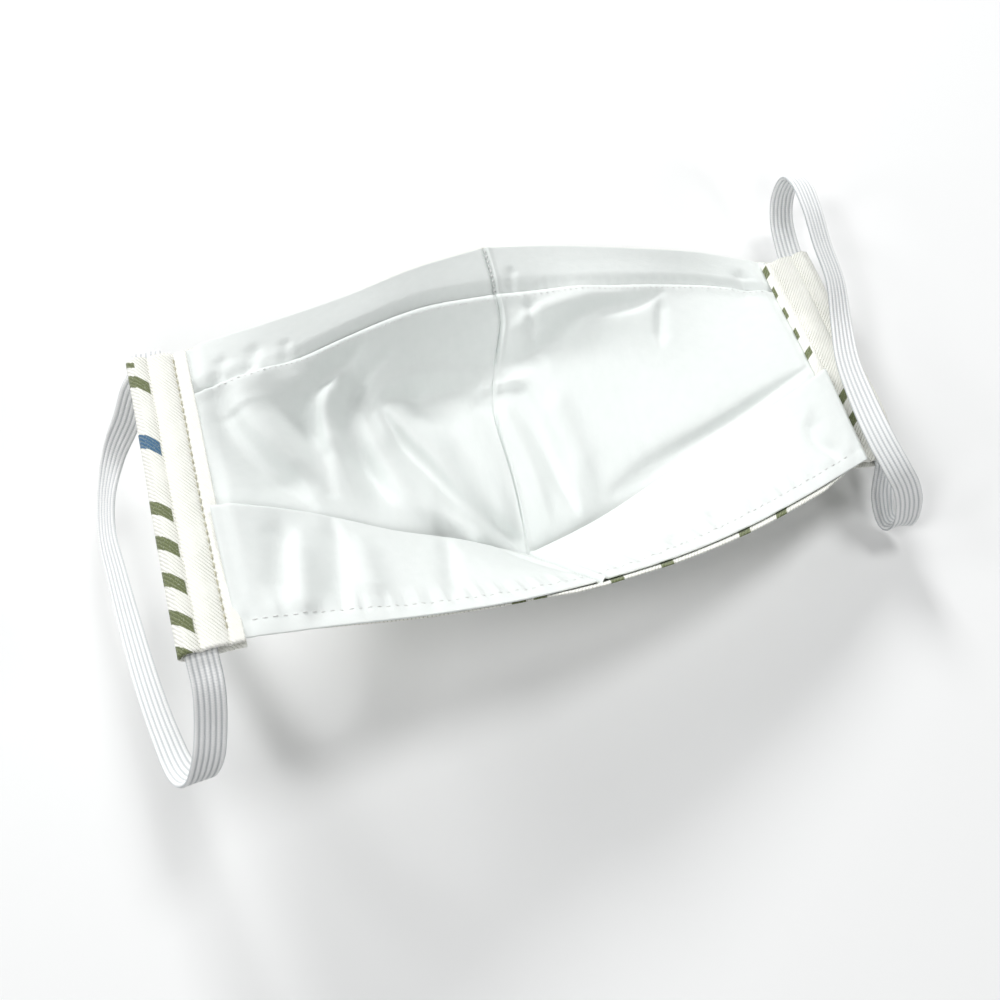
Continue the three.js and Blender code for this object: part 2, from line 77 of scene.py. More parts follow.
# Lines across the mask: place from end to end, then x, y and z as shares of halfSpan, reach and lift
maskLines = {
    "noseEdge": [
        (-1, -0.837, 0.427, 0.725), (-0.9, -0.725, 0.45, 0.685), (-0.75, -0.544, 0.488, 0.592),
        (-0.5, -0.31, 0.551, 0.45), (-0.25, -0.07, 0.615, 0.342), (0, 0.171, 0.654, 0.25),
        (0.25, 0.399, 0.631, 0.183), (0.5, 0.633, 0.578, 0.158), (0.75, 0.867, 0.518, 0.133),
        (0.9, 1.03, 0.46, 0.115), (1, 1.129, 0.422, 0.14),
    ],
    "bandSeam": [
        (-1, -0.832, 0.297, 0.767), (-0.9, -0.722, 0.322, 0.728), (-0.75, -0.544, 0.362, 0.583),
        (-0.5, -0.316, 0.444, 0.425), (-0.25, -0.076, 0.508, 0.283), (0, 0.165, 0.521, 0.183),
        (0.25, 0.392, 0.502, 0.133), (0.5, 0.627, 0.465, 0.1), (0.75, 0.854, 0.422, 0.083),
        (0.9, 1.03, 0.35, 0.14), (1, 1.129, 0.312, 0.17),
    ],
    "noseCrease": [
        (-1, -0.827, 0.161, 0.811), (-0.9, -0.718, 0.178, 0.772), (-0.75, -0.544, 0.208, 0.56),
        (-0.5, -0.329, 0.255, 0.3), (-0.25, -0.114, 0.292, 0.1), (0, 0.095, 0.307, 0.02),
        (0.25, 0.342, 0.292, 0.015), (0.5, 0.589, 0.26, 0.03), (0.75, 0.842, 0.229, 0.075),
        (0.9, 1.03, 0.208, 0.19), (1, 1.129, 0.198, 0.2),
    ],
    "underFold": [
        (-1, -0.822, 0.031, 0.852), (-0.9, -0.714, 0.015, 0.815), (-0.75, -0.544, -0.005, 0.6),
        (-0.5, -0.342, -0.068, 0.4), (-0.25, -0.152, -0.109, 0.17), (0, 0.025, -0.146, 0.02),
        (0.25, 0.278, -0.125, 0.02), (0.5, 0.551, -0.057, 0.06), (0.75, 0.829, 0, 0.115),
        (0.9, 1.03, 0.05, 0.235), (1, 1.129, 0.078, 0.232),
    ],
    "keel": [
        (-1, -0.815, -0.135, 0.906), (-0.9, -0.708, -0.15, 0.87), (-0.75, -0.544, -0.172, 0.66),
        (-0.5, -0.342, -0.198, 0.36), (-0.25, -0.152, -0.214, 0.12), (0, 0.032, -0.219, 0.02),
        (0.25, 0.291, -0.203, 0.015), (0.5, 0.557, -0.172, 0.025), (0.75, 0.835, -0.13, 0.12),
        (0.9, 1.032, -0.095, 0.27), (1, 1.129, -0.073, 0.272),
    ],
    "chinFold": [
        (-1, -0.818, 0.026, 0.912), (-0.9, -0.71, 0.01, 0.878), (-0.75, -0.544, -0.013, 0.663),
        (-0.5, -0.342, -0.075, 0.475), (-0.25, -0.152, -0.115, 0.27), (0, 0.025, -0.172, 0.09),
        (0.25, 0.278, -0.133, 0.12), (0.5, 0.551, -0.063, 0.15), (0.75, 0.823, -0.002, 0.183),
        (0.9, 1.028, 0.045, 0.29), (1, 1.125, 0.073, 0.285),
    ],
    "chinHem": [
        (-1, -0.81, -0.272, 0.95), (-0.9, -0.703, -0.286, 0.925), (-0.75, -0.532, -0.301, 0.867),
        (-0.5, -0.304, -0.32, 0.75), (-0.25, -0.063, -0.333, 0.65), (0, 0.171, -0.333, 0.567),
        (0.25, 0.405, -0.321, 0.5), (0.5, 0.633, -0.295, 0.442), (0.75, 0.861, -0.253, 0.392),
        (0.9, 1.034, -0.215, 0.35), (1, 1.129, -0.193, 0.305),
    ],
}
lines = {name: np.array(rows, float) for name, rows in maskLines.items()}
bowlLines = [lines[k] for k in ("noseEdge", "bandSeam", "noseCrease", "underFold", "keel", "chinHem")]
chinLines = [lines["chinFold"], lines["chinHem"]]
share = np.array([mask["halfSpan"], mask["reach"], mask["lift"]])


def smoothStep(t):
    return t * t * (3 - 2 * t)


def hump(x, middle, width):
    return np.exp(-(((x - middle) / width) ** 2))


def unit(vectors):
    return vectors / np.linalg.norm(vectors, axis=-1, keepdims=True)


def runLength(line):
    # distance along a line of points, from its first one
    return np.concatenate([[0], np.cumsum(np.linalg.norm(np.diff(line, axis=0), axis=1))])


def onRun(distance, values, at):
    # the values of a line's points, at distances along it
    return np.stack([np.interp(at, distance, values[:, k]) for k in range(3)], -1)


def linked(name, data):
    made = bpy.data.objects.new(name, data)
    bpy.context.scene.collection.objects.link(made)
    return made


def hermite(p, q, slopeP, slopeQ, t, width=1.0):
    t = np.asarray(t)[..., None]
    width = np.asarray(width)[..., None]
    start = (2 * t**3 - 3 * t**2 + 1) * p + (t**3 - 2 * t**2 + t) * width * slopeP
    return start + (3 * t**2 - 2 * t**3) * q + (t**3 - t**2) * width * slopeQ


def onLine(rows, u):
    # each half is smooth on its own, so the centre seam is a crease
    u = np.asarray(u, float)
    found = np.zeros(u.shape + (3,))
    middle = len(rows) // 2
    for half, chosen in ((rows[: middle + 1], u < 0), (rows[middle:], u >= 0)):
        at, place = half[:, 0], half[:, 1:]
        before, after = np.maximum(np.arange(len(at)) - 1, 0), np.minimum(np.arange(len(at)) + 1, len(at) - 1)
        slope = (place[after] - place[before]) / (at[after] - at[before])[:, None]
        i = np.clip(np.searchsorted(at, u, side="right") - 1, 0, len(at) - 2)
        width = at[i + 1] - at[i]
        value = hermite(place[i], place[i + 1], slope[i], slope[i + 1], (u - at[i]) / width, width)
        found = np.where(chosen[..., None], value, found)
    return found * share


def throughLines(through, u, v):
    u, v = np.broadcast_arrays(np.asarray(u, float), np.asarray(v, float))
    points = np.stack([onLine(rows, u) for rows in through])
    count = len(through)
    slope = np.stack([
        (points[min(k + 1, count - 1)] - points[max(k - 1, 0)]) / (min(k + 1, count - 1) - max(k - 1, 0))
        for k in range(count)
    ])
    i = np.clip(np.floor(v).astype(int), 0, count - 2)

    def pick(values, k):
        return np.take_along_axis(values, k[None, ..., None], 0)[0]

    return hermite(pick(points, i), pick(points, i + 1), pick(slope, i), pick(slope, i + 1), v - i)


def splineThrough(points, at):
    # a centripetal curve through the points; at counts them
    points = np.asarray(points, float)
    ends = np.vstack([2 * points[0] - points[1], points, 2 * points[-1] - points[-2]])
    i = np.clip(np.floor(at).astype(int), 0, len(points) - 2)
    p0, p1, p2, p3 = (ends[i + k] for k in range(4))

    def knot(a, b):
        return np.maximum(np.linalg.norm(b - a, axis=-1, keepdims=True), 1e-6) ** 0.5

    d0, d1, d2 = knot(p0, p1), knot(p1, p2), knot(p2, p3)
    slope1 = ((p1 - p0) / d0 - (p2 - p0) / (d0 + d1) + (p2 - p1) / d1) * d1
    slope2 = ((p2 - p1) / d1 - (p3 - p1) / (d1 + d2) + (p3 - p2) / d2) * d1
    return hermite(p1, p2, slope1, slope2, at - i)


# Folds of the cloth: a path of (u, v) places, its width to each side and its height, both in millimetres
mainFolds = [
    ([(-0.86, 1.3), (-0.36, 2.9)], 6.2, -4.0),
    ([(-0.8, 1.15), (-0.6, 2.1)], 6.6, 4.3),
    ([(-0.52, 1.35), (-0.55, 2.6)], 5.1, -3.0),
    ([(-0.42, 2.1), (-0.22, 2.95)], 5.1, 2.7),
    ([(-0.33, 2.05), (-0.04, 2.95)], 4.0, -3.0),
    ([(-0.4, 1.9), (-0.02, 1.98)], 5.1, -2.4),
    ([(0.06, 1.6), (0.3, 1.15)], 7.1, 1.8),
    ([(0.12, 2.1), (0.2, 2.8)], 5.1, 1.2),
    ([(0.5, 1.3), (0.9, 2.6)], 14.2, 1.8),
]
fineFolds = [
    # beside the left casing
    ([(-0.91, 0.97), (-0.89, 1.67), (-0.86, 2.28), (-0.82, 2.62), (-0.76, 2.9)], 3.5, -4.2),
    ([(-0.84, 1.02), (-0.82, 1.67), (-0.77, 2.25), (-0.71, 2.6)], 3.6, 3.6),
    # the S in the left cheek, and the rolls beside it
    ([(-0.5, 1.15), (-0.65, 1.41), (-0.71, 1.75), (-0.72, 2.27), (-0.69, 2.7)], 3.4, -3.8),
    ([(-0.57, 1.4), (-0.645, 1.95), (-0.64, 2.34)], 2.6, 2.2),
    ([(-0.4, 1.4), (-0.55, 1.63), (-0.6, 2.08), (-0.585, 2.37), (-0.52, 2.65)], 2.7, -3.4),
    ([(-0.53, 2.0), (-0.5, 2.4), (-0.42, 2.7), (-0.28, 2.9)], 2.8, 3.4),
    # out of the nose point to the left
    ([(-0.02, 2.02), (-0.12, 1.96), (-0.23, 1.92), (-0.39, 1.87), (-0.5, 1.92)], 1.7, -1.8),
    ([(-0.02, 1.9), (-0.12, 1.82), (-0.22, 1.76), (-0.37, 1.72), (-0.47, 1.76)], 2.1, 1.5),
    # down to the chin fold
    ([(-0.46, 2.0), (-0.43, 2.25), (-0.36, 2.48), (-0.28, 2.69), (-0.13, 2.88), (0.0, 3.05)], 2.0, -4.2),
    ([(-0.36, 2.08), (-0.24, 2.4), (-0.12, 2.65), (-0.04, 2.9)], 3.0, 2.2),
    # roll and groove right of the seam
    ([(0.015, 2.08), (0.045, 2.3), (0.075, 2.57), (0.1, 2.85)], 1.9, 1.5),
    ([(0.04, 2.02), (0.09, 2.15), (0.125, 2.34), (0.155, 2.57), (0.19, 2.85)], 2.0, -3.4),
    ([(0.18, 2.1), (0.22, 2.4), (0.26, 2.75)], 3.0, 1.4),
    # soft dents of the right cheek
    ([(0.02, 1.8), (0.12, 1.8), (0.21, 1.65), (0.29, 1.42), (0.37, 1.3), (0.52, 1.23), (0.6, 1.1)],
     2.2, -2.0),
    ([(0.05, 1.45), (0.2, 1.25), (0.45, 1.12)], 2.6, 1.2),
    ([(0.12, 1.05), (0.13, 1.62)], 1.7, -1.2),
    ([(0.6, 1.2), (0.57, 1.83)], 1.6, -1.4),
    ([(0.87, 0.4), (0.86, 1.3)], 1.6, -1.1),
    # foot of the slope under the nose
    ([(-0.5, 1.89), (-0.3, 1.93), (-0.12, 1.98), (0.0, 2.0)], 2.6, 1.6),
    # little lip at the nose point
    ([(-0.09, 2.0), (0.0, 1.99), (0.11, 2.02)], 1.1, 2.0),
    ([(-0.12, 2.09), (0.0, 2.08), (0.11, 2.1)], 0.9, -2.4),
    # groove above the right chin fold
    ([(0.32, 2.88), (0.6, 2.86), (0.93, 2.8)], 2.0, -2.0),
    # puckers of the band
    ([(-0.86, 0.4), (-0.89, 0.95)], 1.2, -0.7),
    ([(-0.79, 0.35), (-0.82, 0.95)], 1.3, -0.8),
    ([(-0.71, 0.45), (-0.73, 0.95)], 1.2, -0.6),
    ([(0.08, 0.45), (0.06, 0.95)], 1.3, -0.6),
]
fineChinFolds = [
    ([(-0.82, 0.1), (-0.85, 0.8)], 2.2, -1.8),
    ([(-0.78, 0.2), (-0.81, 0.95)], 2.2, 1.8),
    ([(-0.7, 0.02), (-0.71, 0.51), (-0.74, 0.9)], 2.6, -2.3),
    ([(-0.62, 0.2), (-0.62, 0.8)], 3.2, 1.7),
    ([(-0.33, 0.05), (-0.38, 0.5), (-0.41, 0.85)], 2.4, -2.0),
    ([(-0.13, 0.02), (-0.06, 0.38), (-0.01, 0.8)], 1.7, -1.9),
    ([(0.87, 0.3), (0.85, 0.6), (0.88, 0.85)], 1.3, -1.5),
    ([(0.3, 0.72), (0.34, 0.95)], 1.4, -1.3),
    ([(0.46, 0.66), (0.49, 0.95)], 1.4, -1.3),
    ([(0.16, 0.7), (0.18, 0.93)], 1.2, -0.9),
]
chinFolds = [
    ([(-0.86, 0.35), (-0.84, 0.9)], 5.1, 1.5),
    ([(-0.72, 0.2), (-0.64, 0.9)], 5.1, 1.8),
    ([(-0.3, 0.3), (-0.12, 0.8)], 7.1, 1.8),
    ([(0.3, 0.3), (0.26, 0.8)], 7.1, 1.8),
]
# millimetres from one line to the next, near enough for the folds
bowlSpacing = mask["reach"] * 0.85 / 4
chinSpacing = mask["reach"] * 0.25


def foldHeight(folds, u, v, spacing, fading=False):
    height = np.zeros(np.shape(u))
    here = np.stack([u * mask["halfSpan"], v * spacing], -1)
    for path, width, amount in folds:
        stops = np.array(path, float) * (mask["halfSpan"], spacing)
        if fading:  # a smooth path in place of the straight stretches
            stops = splineThrough(stops, np.linspace(0, len(stops) - 1, 4 * len(stops) - 3))
        nearest, place = np.full(np.shape(u), np.inf), np.zeros(np.shape(u))
        for k, (a, b) in enumerate(zip(stops[:-1], stops[1:])):
            t = np.clip(((here - a) @ (b - a)) / max((b - a) @ (b - a), 1e-9), 0, 1)
            away = np.linalg.norm(here - a - t[..., None] * (b - a), axis=-1)
            place = np.where(away < nearest, (k + t) / (len(stops) - 1), place)
            nearest = np.minimum(nearest, away)
        strength = 1.0
        if fading:  # thin and low at both ends
            strength = np.clip(0.25 + 3.5 * np.minimum(place, 1 - place), 0, 1)
        height += amount * strength * hump(nearest, 0, width * np.sqrt(strength))
    return height


# How far the centre seam leaves its line: millimetres to the right, round which v, and for how much of v
seamBends = ((1.5, 1.4, 0.35), (-2.0, 2.2, 0.3))
layOut = {"bendReach": 9.0, "settle": 0.5, "slopeStep": 0.02}  # settle rounds the cloth's turn onto the table


class ClothSurface:
    # v counts the lines from the nose edge, and n is the height over the cloth, towards the wearer;
    # the folds fade out towards the last line
    def __init__(self, through, folds, fine, spacing, last, bends=()):
        self.through, self.folds, self.fine = through, folds, fine
        self.spacing, self.last, self.bends = spacing, last, bends

    def held(self, u, v):
        sides = (0.9 - np.abs(u)) / 0.12
        return np.clip(np.minimum(np.minimum(sides, v / 0.5), (self.last - v) / 0.5), 0, 1)

    def facing(self, u, v):
        step = layOut["slopeStep"]
        alongU = throughLines(self.through, u + step, v) - throughLines(self.through, u - step, v)
        alongV = throughLines(self.through, u, v + step) - throughLines(self.through, u, v - step)
        return unit(np.cross(alongV, alongU))

    def at(self, u, v, n=0.0, extra=0.0):
        u, v, n = np.broadcast_arrays(np.asarray(u, float), np.asarray(v, float), np.asarray(n, float))
        point = throughLines(self.through, u, v).copy()
        point[..., 2] += foldHeight(self.folds, u, v, self.spacing) * self.held(u, v)
        near = np.clip(np.minimum((0.935 - np.abs(u)) / 0.03, (self.last + 0.1 - v) / 0.25), 0, 1)
        point[..., 2] += foldHeight(self.fine, u, v, self.spacing, True) * near
        point += self.facing(u, v) * (n + extra)[..., None]
        if self.bends:
            bend = sum(way * hump(v, middle, reach) for way, middle, reach in self.bends)
            point[..., 0] += bend * hump(u * mask["halfSpan"], 0, layOut["bendReach"])
        over = point[..., 2] - restHeight - n
        point[..., 2] += (np.sqrt(over**2 + layOut["settle"]) - over) / 2
        return point


bowl = ClothSurface(bowlLines, mainFolds, fineFolds, bowlSpacing, 4, seamBends)
chin = ClothSurface(chinLines, chinFolds, fineChinFolds, chinSpacing, 1)

# The part's footprint is centred, so its nose band shows how far the mask's own frame is moved
edge = bowl.at(np.array([-seamHalf, -seamHalf]), np.array([0.0, 0.0]), np.array([0.0, -1.0]))
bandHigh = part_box("nose_band_left")[1]
shift = np.array([bandHigh.x * 1000 - edge[:, 0].max(), bandHigh.y * 1000 - edge[:, 1].max(), 0.0])
print("shift of the mask's frame, mm", np.round(shift, 3))


def toMetres(points):
    return (np.asarray(points) + shift) / 1000


def addObject(name, points, faces, material, places):
    # places are millimetres along and across the cloth, for the material
    mesh = bpy.data.meshes.new(name)
    mesh.from_pydata(toMetres(points).tolist(), [], [tuple(int(i) for i in f) for f in faces])
    layer = mesh.uv_layers.new(name="clothPlace")
    corners = np.zeros(len(mesh.loops), int)
    mesh.loops.foreach_get("vertex_index", corners)
    layer.data.foreach_set("uv", np.asarray(places, float)[corners].ravel())
    for polygon in mesh.polygons:
        polygon.use_smooth = True
    mesh.materials.append(material)
    return linked(name, mesh)


def ringFaces(rings, around, joined=False):
    # around is even: a ring's first half is one side of the cloth, and its second half the other, backwards
    faces = []
    for s in range(rings if joined else rings - 1):
        nxt = (s + 1) % rings
        for k in range(around):
            kk = (k + 1) % around
            faces.append((s * around + k, s * around + kk, nxt * around + kk, nxt * around + k))
    if not joined:
        for k in range(around // 2 - 1):
            strip = (k, k + 1, around - 2 - k, around - 1 - k)
            faces.append(strip[::-1])
            faces.append(tuple((rings - 1) * around + j for j in strip))
    return faces


def stripSection(path, thickness):
    # a ring round an open path in a plane: both sides of a cloth bent along the path, with round edges
    roundness = 3
    path = np.asarray(path, float)
    slope = np.gradient(path, axis=0)
    slope /= np.linalg.norm(slope, axis=1, keepdims=True)
    aside = np.stack([-slope[:, 1], slope[:, 0]], 1)
    half = thickness / 2
    turns = np.linspace(0, math.pi, 2 * roundness + 2)[1:-1]
    firstEnd = [path[0] + half * (aside[0] * math.cos(t) - slope[0] * math.sin(t)) for t in turns[::-1]]
    lastEnd = [path[-1] + half * (aside[-1] * math.cos(t) + slope[-1] * math.sin(t)) for t in turns]
    # the ends' points are shared out so that the ring stays a strip of pairs
    top = firstEnd[roundness:] + list(path + half * aside) + lastEnd[:roundness]
    bottom = firstEnd[:roundness][::-1] + list(path - half * aside) + lastEnd[roundness:][::-1]
    return np.array(top + bottom[::-1])


class Wire:
    # a shader socket that turns sums into Math nodes
    def __init__(self, finish, socket):
        self.finish, self.socket = finish, socket

    def math(self, operation, *values):
        return self.finish.node("Math", {"operation": operation}, dict(enumerate(values)))

    def __add__(self, other):
        return self.math("ADD", self, other)

    def __sub__(self, other):
        return self.math("SUBTRACT", self, other)

    def __mul__(self, other):
        return self.math("MULTIPLY", self, other)

    def __truediv__(self, other):
        return self.math("DIVIDE", self, other)

    def __rsub__(self, other):
        return self.math("SUBTRACT", other, self)

    __rmul__ = __mul__

    def sin(self):
        return self.math("SINE", self)

    def abs(self):
        return self.math("ABSOLUTE", self)

    def fract(self):
        return self.math("FRACT", self)

    def floor(self):
        return self.math("FLOOR", self)

    def above(self, level, soft):
        # 0 under the level and 1 over it, with a soft step
        return self.finish.node(
            "MapRange", {"interpolation_type": "SMOOTHSTEP"},
            {"Value": self, "From Min": level - soft, "From Max": level + soft},
        )


class Finish:
    # one material and its nodes
    def __init__(self, name):
        self.material = bpy.data.materials.new(name)
        self.material.use_nodes = True
        self.tree = self.material.node_tree
        self.tree.nodes.clear()

    def node(self, kind, settings, values, output=0):
        # values are Wires or numbers by socket name, or by socket number where names repeat
        made = self.tree.nodes.new("ShaderNode" + kind)
        for name, value in settings.items():
            setattr(made, name, value)
        for name, value in values.items():
            socket = made.inputs[name] if isinstance(name, int) else None
            if socket is None:
                socket = next(i for i in made.inputs if i.name == name and i.enabled)
            if isinstance(value, Wire):
                self.tree.links.new(value.socket, socket)
            else:
                socket.default_value = value
        outputs = [o for o in made.outputs if o.enabled]
        if isinstance(output, str):
            return Wire(self, next(o for o in outputs if o.name == output))
        return Wire(self, outputs[output]) if outputs else made

    def mixed(self, factor, a, b):
        return self.node("Mix", {"data_type": "RGBA"}, {"Factor": factor, "A": a, "B": b})

    def noise(self, place, scale, detail=3.0, rough=0.5):
        values = {"Vector": place, "Scale": scale, "Detail": detail, "Roughness": rough}
        return self.node("TexNoise", {}, values)

    def clothPlace(self):
        # millimetres along and across the cloth
        uv = self.node("UVMap", {"uv_map": "clothPlace"}, {})
        along = self.node("SeparateXYZ", {}, {"Vector": uv})
        across = Wire(self, along.socket.node.outputs["Y"])
        return uv, along, across

    def bump(self, strength, distance, height):
        return self.node("Bump", {}, {"Strength": strength, "Distance": distance, "Height": height})

    def done(self, surface):
        self.node("OutputMaterial", {}, {"Surface": surface})
        return self.material


def tint(r, g, b):
    # an 8-bit screen colour as linear light
    channel = [c / 255 / 12.92 if c <= 10 else ((c / 255 + 0.055) / 1.055) ** 2.4 for c in (r, g, b)]
    return (*channel, 1.0)


lawnLook = {"tint": tint(238, 242, 240), "shade": tint(230, 235, 233), "thread": 0.32, "roughness": 0.82}


def lawnFinish():
    # fine plain weave of the lining
    f = Finish("whiteLawn")
    uv, x, y = f.clothPlace()
    wander = f.noise(uv, 0.9, 2.0)
    pitch = 2 * math.pi / lawnLook["thread"]
    weave = ((x + wander * 0.15) * pitch).sin() * ((y + wander * 0.15) * pitch).sin()
    slub = f.noise(uv, 0.35, 4.0, 0.6)
    colour = f.mixed(slub, lawnLook["shade"], lawnLook["tint"])
    height = weave * 0.03 + slub * 0.25 + f.noise(uv, 2.2, 3.0) * 0.06
    bump = f.bump(0.6, 0.0006, height)
    rough = f.noise(uv, 1.3) * 0.12 + (lawnLook["roughness"] - 0.06)
    return f.done(f.node("BsdfPrincipled", {}, {
        "Base Color": colour, "Roughness": rough, "Normal": bump,
        "Sheen Weight": 0.25, "Sheen Roughness": 0.5, "Specular IOR Level": 0.25,
    }))


# the valley colour is painted shade, laid into the grooves between the twill's ribs
twillLook = {
    "ground": tint(252, 252, 247), "shade": tint(244, 244, 236), "shadedValley": tint(176, 178, 162),
    "olive": tint(92, 103, 56), "blue": tint(30, 94, 136), "pale": tint(176, 180, 140),
    "rib": 0.8, "steep": 0.8, "roughness": 0.85,
    "barAlong": 7.4, "barAcross": 11.5, "barLength": 4.0, "barHeight": 3.1, "slant": 0.85,
    "bleed": 0.15, "missing": 0.18, "blueShare": 0.14,
}


def barShare(fromMiddle, edge, size):
    # 1 inside a bar of this size and 0 outside it, with a rough edge
    return 1 - (fromMiddle + edge).above(size / 2 + twillLook["bleed"], 0.12)


def twillFinish(name, bars, repeatEnd=None, strips=False):
    # off-white twill with painted shade in the grooves of its weave, and slanted printed bars, the ones
    # listed and a plain repeat up to repeatEnd
    f = Finish(name)
    uv, x, y = f.clothPlace()
    wander = f.noise(uv, 0.8, 2.0)
    diagonal = (x * twillLook["steep"] + y + wander * 0.3) * (2 * math.pi / twillLook["rib"])
    steps = (x - y) * (2 * math.pi / (twillLook["rib"] * 0.7))
    rib = diagonal.sin() * 0.5 + (steps.sin() * 0.5 + 0.5) * 0.25
    # where the grooves between the ribs lie; painted shade goes there
    shadedValley = 1 - (rib + 0.1 * wander).above(-0.22, 0.3)
    patch = f.noise(uv, 0.16, 2.0).above(0.47, 0.16) * 0.65 + 0.35
    if strips:  # painted shade: the weave's grooves are darkest where a strip turns down to its stitches, on the side turned from the light, and not on the inner edge
        width = casingLook["crease"] - casingLook["stitch"]
        # a ramp across each strip that paints it darker towards its turned-down side
        turnedShade = 1 - ((y - casingLook["stitch"] + casingLook["middle"]) / width).fract()
        inner = y.above(casingLook["stitch"] - casingLook["middle"], 0.1)
        patch = patch * inner * (turnedShade * 1.1 + 0.15)
    cotton = f.noise(uv, 0.5, 4.0, 0.6)
    ground = f.mixed(cotton, twillLook["shade"], twillLook["ground"])
    # painted shade: the weave's grooves are darkened with the valley colour, in random patches
    ground = f.mixed(shadedValley * patch * 0.8, ground, twillLook["shadedValley"])
    edge = f.noise(uv, 3.0, 2.0) * 0.3
    printed, blue = 0.0, 0.0
    for along, across, long, high, isBlue in bars:
        inX = barShare((x - along + (y - across) * twillLook["slant"]).abs(), edge, high)
        inY = barShare((y - across).abs(), edge, long)
        printed = inX * inY + printed
        if isBlue:
            blue = inX * inY + blue
    if repeatEnd:
        rowPlace = y / twillLook["barAcross"]
        row = rowPlace.floor()
        slid = x + (y * twillLook["slant"]) + row * (twillLook["barAlong"] * 0.5)
        cell = (slid / twillLook["barAlong"]).floor()
        fromBar = ((slid / twillLook["barAlong"]).fract() - 0.5).abs() * twillLook["barAlong"]
        inX = barShare(fromBar, edge, twillLook["barHeight"])
        inY = barShare((rowPlace.fract() - 0.5).abs() * twillLook["barAcross"], edge, twillLook["barLength"])
        pair = f.node("CombineXYZ", {}, {"X": cell, "Y": row})
        chance = f.node("TexWhiteNoise", {"noise_dimensions": "2D"}, {"Vector": pair}, "Value")
        here = chance.above(twillLook["missing"], 0.01) * (1 - y.above(repeatEnd, 0.1))
        printed = inX * inY * here + printed
        blue = chance.above(1 - twillLook["blueShare"], 0.01)
    ink = f.mixed(blue, twillLook["olive"], twillLook["blue"])
    worn = 1 - f.noise(uv, 2.6, 4.0, 0.7).above(0.64, 0.12) * 0.45
    ink = f.mixed(shadedValley * 0.4, ink, twillLook["pale"])
    colour = f.mixed(printed * worn * 0.95, ground, ink)
    height = rib * 0.2 + cotton * 0.2
    bump = f.bump(0.7, 0.0006, height)
    rough = f.noise(uv, 1.1) * 0.12 + (twillLook["roughness"] - 0.06)
    return f.done(f.node("BsdfPrincipled", {}, {
        "Base Color": colour, "Roughness": rough, "Normal": bump,
        "Sheen Weight": 0.2, "Sheen Roughness": 0.5, "Specular IOR Level": 0.2,
    }))


# the groove colour is painted shade for the hollows between the elastic's ribs
elasticLook = {"tint": tint(249, 250, 250), "groove": tint(184, 189, 193), "roughness": 0.6, "ribs": 6}


def elasticFinish():
    # ribbed knit with painted shade between its ribs: x runs along the band and y across it
    f = Finish("elasticKnit")
    uv, x, y = f.clothPlace()
    ribPlace = (y + mask["elasticWidth"] / 2) * (elasticLook["ribs"] / mask["elasticWidth"])
    shadedValley = ((ribPlace.fract() - 0.5).abs() * 2).above(0.62, 0.3)
    stitch = (x * (2 * math.pi / 0.55) + (ribPlace.fract() - 0.5).abs() * 3).sin() * 0.5 + 0.5
    # painted shade: the grooves between the ribs take the groove colour
    colour = f.mixed(shadedValley * 0.6 + stitch * 0.12, elasticLook["tint"], elasticLook["groove"])
    height = stitch * 0.25 + f.noise(uv, 2.0) * 0.15
    bump = f.bump(0.5, 0.0003, height)
    rough = f.noise(uv, 1.5) * 0.1 + (elasticLook["roughness"] - 0.05)
    return f.done(f.node("BsdfPrincipled", {}, {
        "Base Color": colour, "Roughness": rough, "Normal": bump,
        "Sheen Weight": 0.15, "Specular IOR Level": 0.4,
    }))


def threadFinish(name, colour, shade):
    # twisted sewing thread
    f = Finish(name)
    _, x, y = f.clothPlace()
    twist = ((x * 2 + y) * (2 * math.pi / 0.5)).sin() * 0.5 + 0.5
    bump = f.bump(0.5, 0.0002, twist)
    return f.done(f.node("BsdfPrincipled", {}, {
        "Base Color": f.mixed(twist * 0.6, colour, shade), "Roughness": twist * 0.1 + 0.5,
        "Normal": bump, "Specular IOR Level": 0.4,
    }))


# Printed bars on the strips round the ends: along, across, length across, height along and whether it is blue
leftBars = [
    (0.9, 1.2, 3.0, 1.4, False), (6.2, 0.2, 5.7, 3.1, False), (22.0, 0.2, 5.7, 3.5, True),
    (38.4, 0.2, 5.6, 3.2, False), (46.6, 0.2, 5.6, 3.2, False), (54.9, 0.2, 5.6, 3.2, False),
    (63.2, 0.2, 5.6, 3.2, False), (71.0, 0.2, 5.6, 3.2, False),
]
rightBars = [
    (2.6, -11.0, 1.9, 3.0, False), (9.3, -11.3, 1.2, 3.2, False), (16.3, -11.3, 1.2, 3.2, False),
    (23.2, -11.3, 1.2, 3.0, False), (29.4, -10.6, 2.2, 2.2, False), (43.4, -7.2, 3.6, 2.6, False),
    (49.0, -6.4, 4.4, 2.8, False),
]
# The bars that show on the shell's hem, at these shares of one half of the mask
hemPrint = {"halfLength": 89.3, "down": 102.6, "long": 6.0, "high": 3.8, "repeatEnd": 97.0}
hemBars = [
    (u * hemPrint["halfLength"], hemPrint["down"], hemPrint["long"], hemPrint["high"], False)
    for u in (-0.26, -0.195, 0.045, 0.21, 0.49, 0.636)
]
# A casing's cloth, and outwards from the mask's end its crease, its stitches and the swells beside them
casingLook = {
    "wall": 0.6, "crease": 3.3, "stitch": -2.2, "middle": 6.3, "step": 0.7,
    "swells": (5.7, 0.6), "swellReach": 1.9, "swell": 0.55, "dip": 0.6,
}
lawn = lawnFinish()
shellTwill = twillFinish("printedTwill", hemBars, hemPrint["repeatEnd"])
stripTwill = {
    "left": twillFinish("printedStripLeft", leftBars, strips=True),
    "right": twillFinish("printedStripRight", rightBars, strips=True),
}
knit = elasticFinish()
whiteThread = threadFinish("whiteThread", tint(240, 241, 240), tint(214, 216, 214))
tanThread = threadFinish("tanThread", tint(222, 219, 196), tint(180, 176, 150))
print("materials made")

# How thick the drawn cloth is, how fine its mesh, and how much longer it is than its span
cloth = {"wall": 0.55, "step": 0.75, "fullness": 1.13}
